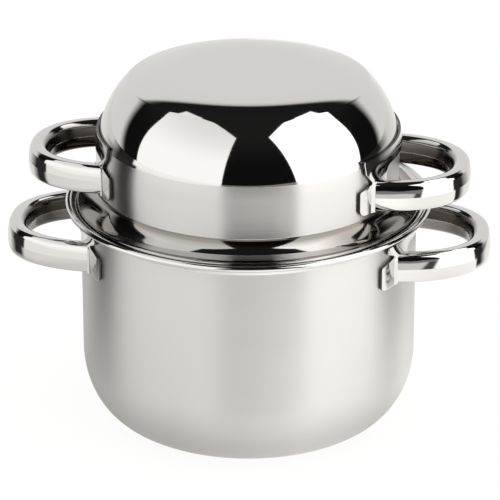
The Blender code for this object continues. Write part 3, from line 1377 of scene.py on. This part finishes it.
    def build(self) -> list[Piece]:
        """Model one loop and its plate, then copy them to every place they stand.

        Returns:
            The six pieces of the two handles.
        """
        body = self.place.body.value
        upper = self.build_half(f"{body}_loop_right_upper", self.upper, self.shade_shares[0])
        lower = self.build_half(f"{body}_loop_right_lower", self.lower, self.shade_shares[1])
        Bench.mirror_down(lower)
        plate = self.build_plate(f"{body}_plate_right")
        pieces = []
        for piece in (upper, lower, plate):
            twin = Bench.copy(piece, piece.name.replace("right", "left"))
            Bench.settle(piece, self.place.turn + Side.RIGHT.value, self.place.height)
            Bench.settle(twin, self.place.turn + Side.LEFT.value, self.place.height)
            pieces += [piece, twin]
        return pieces

    def dress(self, pieces: list[Piece], finishes: Finishes) -> None:
        """Give the loops and plates their polish and hang them on their body.

        Args:
            pieces: Pieces of the two handles.
            finishes: Finishes of the pot.
        """
        body = self.place.body.value
        for piece in pieces:
            plate = "plate" in piece.name
            Bench.paint(piece, finishes.plate if plate else finishes.loop, Bench.everywhere)
            if plate:
                # Painted shade of the weld gap on the plate's rim faces.
                Bench.paint(piece, finishes.edge, lambda centre, normal: (
                    abs(centre.to_2d().normalized().dot(normal.to_2d())) < self.GAP_SHADE_FACING
                ))
            side = "right" if "right" in piece.name else "left"
            kind = "bracket" if plate else piece.name.rsplit("_", 1)[1]
            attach(piece, body)
            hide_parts(f"{body}_handle_{side}_{kind}")


# Studio


@dataclass(frozen=True)
class Softbox:
    """Large softbox that arches over one side of the object.

    Directions are (azimuth, elevation) in degrees from the camera's side, as on the right-hand
    side. The side is 1 on the right and -1 on the left, which mirrors them.
    """

    side: int
    front: Edge
    crest: Edge = ((57.0, 64.4), (163.0, 54.6))
    flank: Edge = ((92.0, 0.0), (96.0, 37.0))
    shelf: Edge = ((111.0, 50.3), (162.0, 47.5))
    end: Edge = ((164.0, 0.0), (163.5, 60.0))
    inside: Point = (60.0, 40.0)
    over: Point = (100.0, 60.0)
    rounding: float = 0.3
    soft: float = 0.006

    def aside(self, *directions: Point) -> list[Point]:
        """Directions on this softbox's own side."""
        return [(azimuth * self.side, elevation) for azimuth, elevation in directions]


class Sky(NodeTree):
    """World of the photo studio: plain white to the camera, lamps and dark to the steel.

    The left lamp's drop and the dark are given as (span of height, level under, level over),
    where the height is the sine of the elevation, as for the white wall's edges.
    """

    COLOUR = (1.0, 0.995, 0.985, 1.0)
    LEFT = Softbox(-1, ((20.0, -4.0), (13.4, 52.0)))
    RIGHT = Softbox(1, ((35.6, -4.0), (22.0, 52.0)))
    LEFT_DROP = ((0.3, 0.95), 1.34, 0.98)
    RIGHT_STRENGTH = 1.75
    DARK = ((0.3, 0.9), 0.006, 0.015)
    WALL_STRENGTH = 0.86
    WALL_TOP = 0.54
    PEAK_TOP = 0.65
    PEAK_START = 0.77
    PEAK_SLOPE = 4.0
    PEAK_ROUNDING = 0.05
    WALL_SIDES = (((-110.0, -6.0), (-122.0, 22.0)), ((118.0, -6.0), (124.0, 24.0)))
    SIDE_ROUNDING = 0.35
    WALL_SOFT = (-0.09, 0.08)
    PLAIN = (("Is Diffuse Ray", 0.9), ("Is Camera Ray", 1.0))
    UP = Vector((0.0, 0.0, 1.0))

    def __init__(self, turn: float) -> None:
        """Start the world.

        Args:
            turn: Camera's turn about the pot's axis, which the directions start from.
        """
        self.turn = turn
        world = bpy.data.worlds.new("studio")
        bpy.context.scene.world = world
        world.use_nodes = True
        super().__init__(world.node_tree)
        self.surface = self.nodes["Background"]
        self.feed(self.surface.inputs["Color"], self.COLOUR)
        self.where = self.node("ShaderNodeTexCoord").outputs["Object"]

    def heading(self, azimuth: float, elevation: float) -> Vector:
        """Turn an azimuth and an elevation into a direction.

        Args:
            azimuth: Angle from the camera's side, in degrees.
            elevation: Angle over the floor, in degrees.

        Returns:
            The direction in the world.
        """
        around, up = math.radians(azimuth), math.radians(elevation)
        right = math.cos(up) * math.sin(around)
        away = -math.cos(up) * math.cos(around)
        cos, sin = math.cos(self.turn), math.sin(self.turn)
        return Vector((right * cos - away * sin, right * sin + away * cos, math.sin(up)))

    def smooth(
        self, value: Socket, span: Point, low: float = 0.0, high: float = 1.0
    ) -> Socket:
        """Pass smoothly from a low to a high value over a span."""
        return self.ranged(value, span, low, high, "SMOOTHSTEP")

    def along(self, axis: Vector) -> Socket:
        """Measure the direction that is looked in along an axis.

        Args:
            axis: The axis.

        Returns:
            Output with the dot product of the two.
        """
        node = self.node("ShaderNodeVectorMath", operation="DOT_PRODUCT")
        self.feed(node.inputs[0], self.where)
        self.feed(node.inputs[1], tuple(axis))
        return node.outputs["Value"]

    def beyond(self, first: Point, second: Point, inside: Point) -> Socket:
        """Distance of a direction from a straight edge, as a dot product.

        Args:
            first: One end of the edge, as (azimuth, elevation).
            second: Other end of the edge.
            inside: Direction on the lit side, where the distance is positive.

        Returns:
            Output with the distance.
        """
        axis = self.heading(*first).cross(self.heading(*second)).normalized()
        if axis.dot(self.heading(*inside)) < 0:
            axis.negate()
        return self.along(axis)

    def lamp(self, box: Softbox) -> Socket:
        """Mask of a softbox.

        Args:
            box: The softbox.

        Returns:
            Output that is 1 inside the softbox and 0 outside.
        """
        peak = box.crest[0]
        crest = self.math(
            "MAXIMUM",
            self.beyond(*box.aside(box.front[1], peak, box.inside)),
            self.beyond(*box.aside(*box.crest, box.inside)),
        )
        flank = self.math(
            "SMOOTH_MAX",
            self.beyond(*box.aside(*box.flank, box.inside)),
            self.beyond(*box.aside(*box.shelf, box.over)),
            box.rounding,
        )
        mask = self.math("MINIMUM", crest, flank)
        mask = self.math("MINIMUM", mask, self.beyond(*box.aside(*box.front, box.inside)))
        end = self.beyond(*box.aside(*box.end, box.over))
        return self.smooth(self.math("MINIMUM", mask, end), (-box.soft, box.soft))

    def backdrop(self) -> Socket:
        """Mask of the white wall behind the object, highest in its middle.

        Returns:
            Output that is 1 on the wall and 0 outside.
        """
        height = self.along(self.UP)
        middle = self.math("SUBTRACT", self.along(self.heading(180.0, 0.0)), self.PEAK_START)
        peak = self.math("MINIMUM", self.math("SUBTRACT", self.PEAK_TOP, height),
                         self.math("MULTIPLY", middle, self.PEAK_SLOPE))
        top = self.math("SUBTRACT", self.WALL_TOP, height)
        mask = self.math("SMOOTH_MAX", top, peak, self.PEAK_ROUNDING)
        for low, high in self.WALL_SIDES:
            side = self.beyond(low, high, (180.0, 10.0))
            mask = self.math("SMOOTH_MIN", mask, side, self.SIDE_ROUNDING)
        return self.smooth(mask, self.WALL_SOFT)

    def light(self) -> None:
        """Join the lamps, the backdrop and the dark into the world's light.

        The camera sees plain white and the floor gets a plain level, so only the steel
        shows the lamps.
        """
        height = self.along(self.UP)
        level = self.smooth(height, *self.DARK)
        lamps = (
            (self.lamp(self.LEFT), self.smooth(height, *self.LEFT_DROP)),
            (self.lamp(self.RIGHT), self.RIGHT_STRENGTH),
            (self.backdrop(), self.WALL_STRENGTH),
        )
        for mask, strength in lamps:
            level = self.math("ADD", level, self.math("MULTIPLY", mask, strength))
        path = self.node("ShaderNodeLightPath")
        for ray, plain in self.PLAIN:
            level = self.mixed(path.outputs[ray], level, plain)
        self.feed(self.surface.inputs["Strength"], level)


class Floor:
    """Pale floor that keeps the pot's shadow and stays white to the camera.

    The steel sees painted light and shade on it instead: rings of (azimuth in degrees, brightness),
    one inside the other, paint the lamps' light, the pot's shadow and the dark beyond, and a
    painted shadow darkens it next to the pot. The spans next to the rings, and those of the painted
    shadow, are distances from the pot's axis.
    """

    SIZE = 6.0
    COLOUR = (0.86, 0.85, 0.83, 1.0)
    MIRRORED_COLOUR = (1.0, 0.985, 0.95, 1.0)
    WHITE_STRENGTH = 1.06
    WHITE_SHARE = 0.85
    CONTACT_SHADOW = ((0.08, 0.12), 0.65, 1.0)
    NEAR = (
        (-180, 0.92), (-146, 0.45), (-129, 0.58), (-108, 0.55), (-80, 0.75), (-35, 0.85),
        (-15, 1.04), (8, 1.28), (22, 1.32), (37, 1.24), (59, 1.14), (80, 1.24), (99, 1.36),
        (114, 1.22), (127, 1.02), (180, 0.98),
    )
    MIDDLE = (
        (-180, 0.95), (-146, 0.85), (-125, 0.95), (-107, 0.03), (-95, 0.03), (-90, 0.90),
        (-35, 1.00), (-15, 1.15), (8, 1.45), (22, 1.40), (37, 1.25), (70, 1.25), (90, 1.30),
        (92, 0.03), (100, 0.03), (114, 1.05), (180, 0.98),
    )
    FAR = (
        (-180, 0.90), (-135, 0.85), (-112, 0.03), (-90, 0.03), (-88, 1.08), (-22, 1.08),
        (-18, 0.80), (25, 0.80), (28, 0.08), (34, 0.08), (37, 1.60), (86, 1.60), (88, 0.03),
        (106, 0.03), (130, 0.85), (180, 0.90),
    )
    HORIZON = (
        (-180, 0.86), (-124, 0.80), (-111, 0.02), (-94, 0.02), (-92.5, 1.25), (-20.5, 1.25),
        (-19, 0.25), (34.5, 0.25), (36.5, 1.75), (87, 1.75), (88.5, 0.02), (114, 0.02),
        (130, 0.80), (180, 0.86),
    )

    RINGS = ((MIDDLE, (0.22, 0.27)), (FAR, (0.38, 0.44)), (HORIZON, (1.05, 1.35)))

    def __init__(self, turn: float) -> None:
        """Lay the floor.

        Args:
            turn: Camera's turn about the pot's axis.
        """
        self.turn = turn
        Bench.clear()
        bpy.ops.mesh.primitive_plane_add(size=self.SIZE, location=(0.0, 0.0, 0.0))
        self.piece = bpy.context.object
        self.piece.name = "floor"

    def painted_floor_light(self, shader: Shader) -> Socket:
        """Painted light and shade of the floor in the steel, by place round the pot and distance.

        Args:
            shader: Node tree of the floor.

        Returns:
            Output with the brightness.
        """
        along, across, _ = shader.split()
        cos, sin = math.cos(self.turn), math.sin(self.turn)
        right = shader.math("ADD", shader.math("MULTIPLY", along, cos),
                            shader.math("MULTIPLY", across, sin))
        near = shader.math("SUBTRACT", shader.math("MULTIPLY", along, sin),
                           shader.math("MULTIPLY", across, cos))
        around = shader.ranged(shader.math("ARCTAN2", right, near), (-math.pi, math.pi))
        reach = shader.length(right, near)
        level = self.ring(shader, around, self.NEAR)
        for stops, span in self.RINGS:
            share = shader.ranged(reach, span)
            level = shader.mixed(share, level, self.ring(shader, around, stops))
        # Painted shadow next to the pot's base.
        return shader.math("MULTIPLY", level, shader.ranged(reach, *self.CONTACT_SHADOW))

    @staticmethod
    def ring(shader: Shader, around: Socket, stops: tuple[Point, ...]) -> Socket:
        """Brightness of one ring of the floor.

        Args:
            shader: Node tree of the floor.
            around: Azimuth, from 0 to 1 for a full turn.
            stops: Pairs of an azimuth in degrees and a brightness.

        Returns:
            Output with the brightness.
        """
        ramp = shader.node("ShaderNodeValToRGB")
        shader.feed(ramp.inputs["Fac"], around)
        marks = ramp.color_ramp.elements
        for index, (degrees, level) in enumerate(stops):
            spot = (degrees + 180.0) / 360.0
            mark = marks[index] if index < 1 else marks.new(spot)
            mark.position = spot
            mark.color = (level, level, level, 1.0)
        marks.remove(marks[len(marks) - 1])
        return ramp.outputs["Color"]

    def dress(self) -> None:
        """Give the floor its pale finish."""
        shader = Shader("pale_floor", (0.9, 0.9, 0.9))
        shader.nodes.remove(shader.metal)
        diffuse = shader.node("ShaderNodeBsdfDiffuse")
        shader.feed(diffuse.inputs["Color"], self.COLOUR)
        mirrored = shader.node("ShaderNodeEmission")
        shader.feed(mirrored.inputs["Color"], self.MIRRORED_COLOUR)
        # What the steel sees of the floor is painted light and shade.
        shader.feed(mirrored.inputs["Strength"], self.painted_floor_light(shader))
        white = shader.node("ShaderNodeEmission")
        shader.feed(white.inputs["Strength"], self.WHITE_STRENGTH)
        path = shader.node("ShaderNodeLightPath")
        surface = diffuse.outputs[0]
        share = shader.math("MULTIPLY", path.outputs["Is Camera Ray"], self.WHITE_SHARE)
        for factor, other in ((path.outputs["Is Glossy Ray"], mirrored), (share, white)):
            mix = shader.node("ShaderNodeMixShader")
            for socket, value in zip(mix.inputs, (factor, surface, other.outputs[0])):
                shader.feed(socket, value)
            surface = mix.outputs[0]
        shader.feed(shader.nodes["Material Output"].inputs["Surface"], surface)
        shader.material.cycles.emission_sampling = "NONE"
        self.piece.data.materials.append(shader.material)


@dataclass(frozen=True)
class PhotoCamera:
    """Camera that the photograph was taken with, aimed near the pot's axis. Angles in degrees."""

    turn: float = 4.8
    rise: float = 25.945
    distance: float = 1.5955
    tilt: float = 23.255
    pan: float = 0.026
    sensor: float = 36.0
    lens: float = 234.32
    reach: float = 20.0

    def build(self) -> float:
        """Place the camera.

        Returns:
            Its turn about the pot's axis, in radians.
        """
        turn, rise = math.radians(self.turn), math.radians(self.rise)
        data = bpy.data.cameras.new("camera")
        camera = bpy.data.objects.new("camera", data)
        bpy.context.scene.collection.objects.link(camera)
        camera.location = (
            self.distance * math.cos(rise) * math.sin(turn),
            -self.distance * math.cos(rise) * math.cos(turn),
            self.distance * math.sin(rise),
        )
        level = math.radians(90.0 - self.tilt)
        camera.rotation_euler = (level, 0.0, turn - math.radians(self.pan))
        data.sensor_width = self.sensor
        data.lens = self.lens
        data.clip_end = self.reach
        bpy.context.scene.camera = camera
        return turn


POT_LOOP = HandleSizes(
    reach=0.0357, width=0.0755, taper=0.08, squareness=2.4, height=0.0140, ear_width=0.0092,
    ear_top=0.0046, ear_corner=0.0022, notch_rise=0.0004, strap_low=0.0093, strap_top=0.0132,
    strap_overhang=0.0056,
)
LID_LOOP = HandleSizes(
    reach=0.0343, width=0.0696, taper=-0.02, squareness=2.19, height=0.0140, ear_width=0.0076,
    ear_top=0.0052, ear_corner=0.0036, notch_rise=0.0004, strap_low=0.0121, strap_top=0.0188,
    strap_overhang=0.0043,
)
# Shares of painted shade inside the upper and the lower loop halves.
POT_SHADE_SHARES = (1.0, 0.72)
LID_SHADE_SHARES = (0.85, 1.0)


def main() -> None:
    """Build every sub-assembly, dress it and set the studio round it."""
    logging.basicConfig(level=logging.INFO, format="%(message)s")
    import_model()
    finishes = Finishes()
    pot = PotShell()
    shell = pot.build()
    pot.dress(shell, finishes)
    lid = LidShell(pot)
    bowl = lid.build()
    lid.dress(bowl, finishes)
    pieces = [shell, bowl]
    loops = (
        (POT_LOOP, pot.handle_place(), POT_SHADE_SHARES), (LID_LOOP, lid.handle_place(), LID_SHADE_SHARES),
    )
    for loop, place, shade_shares in loops:
        handles = LoopHandles(loop, place, shade_shares=shade_shares)
        built = handles.build()
        handles.dress(built, finishes)
        pieces += built
    for piece in pieces:
        LOG.info("%s: %d faces", piece.name, len(piece.data.polygons))
    turn = PhotoCamera().build()
    Sky(turn).light()
    Floor(turn).dress()
    bpy.context.scene.view_settings.view_transform = "Standard"


if __name__ == "__main__":
    main()
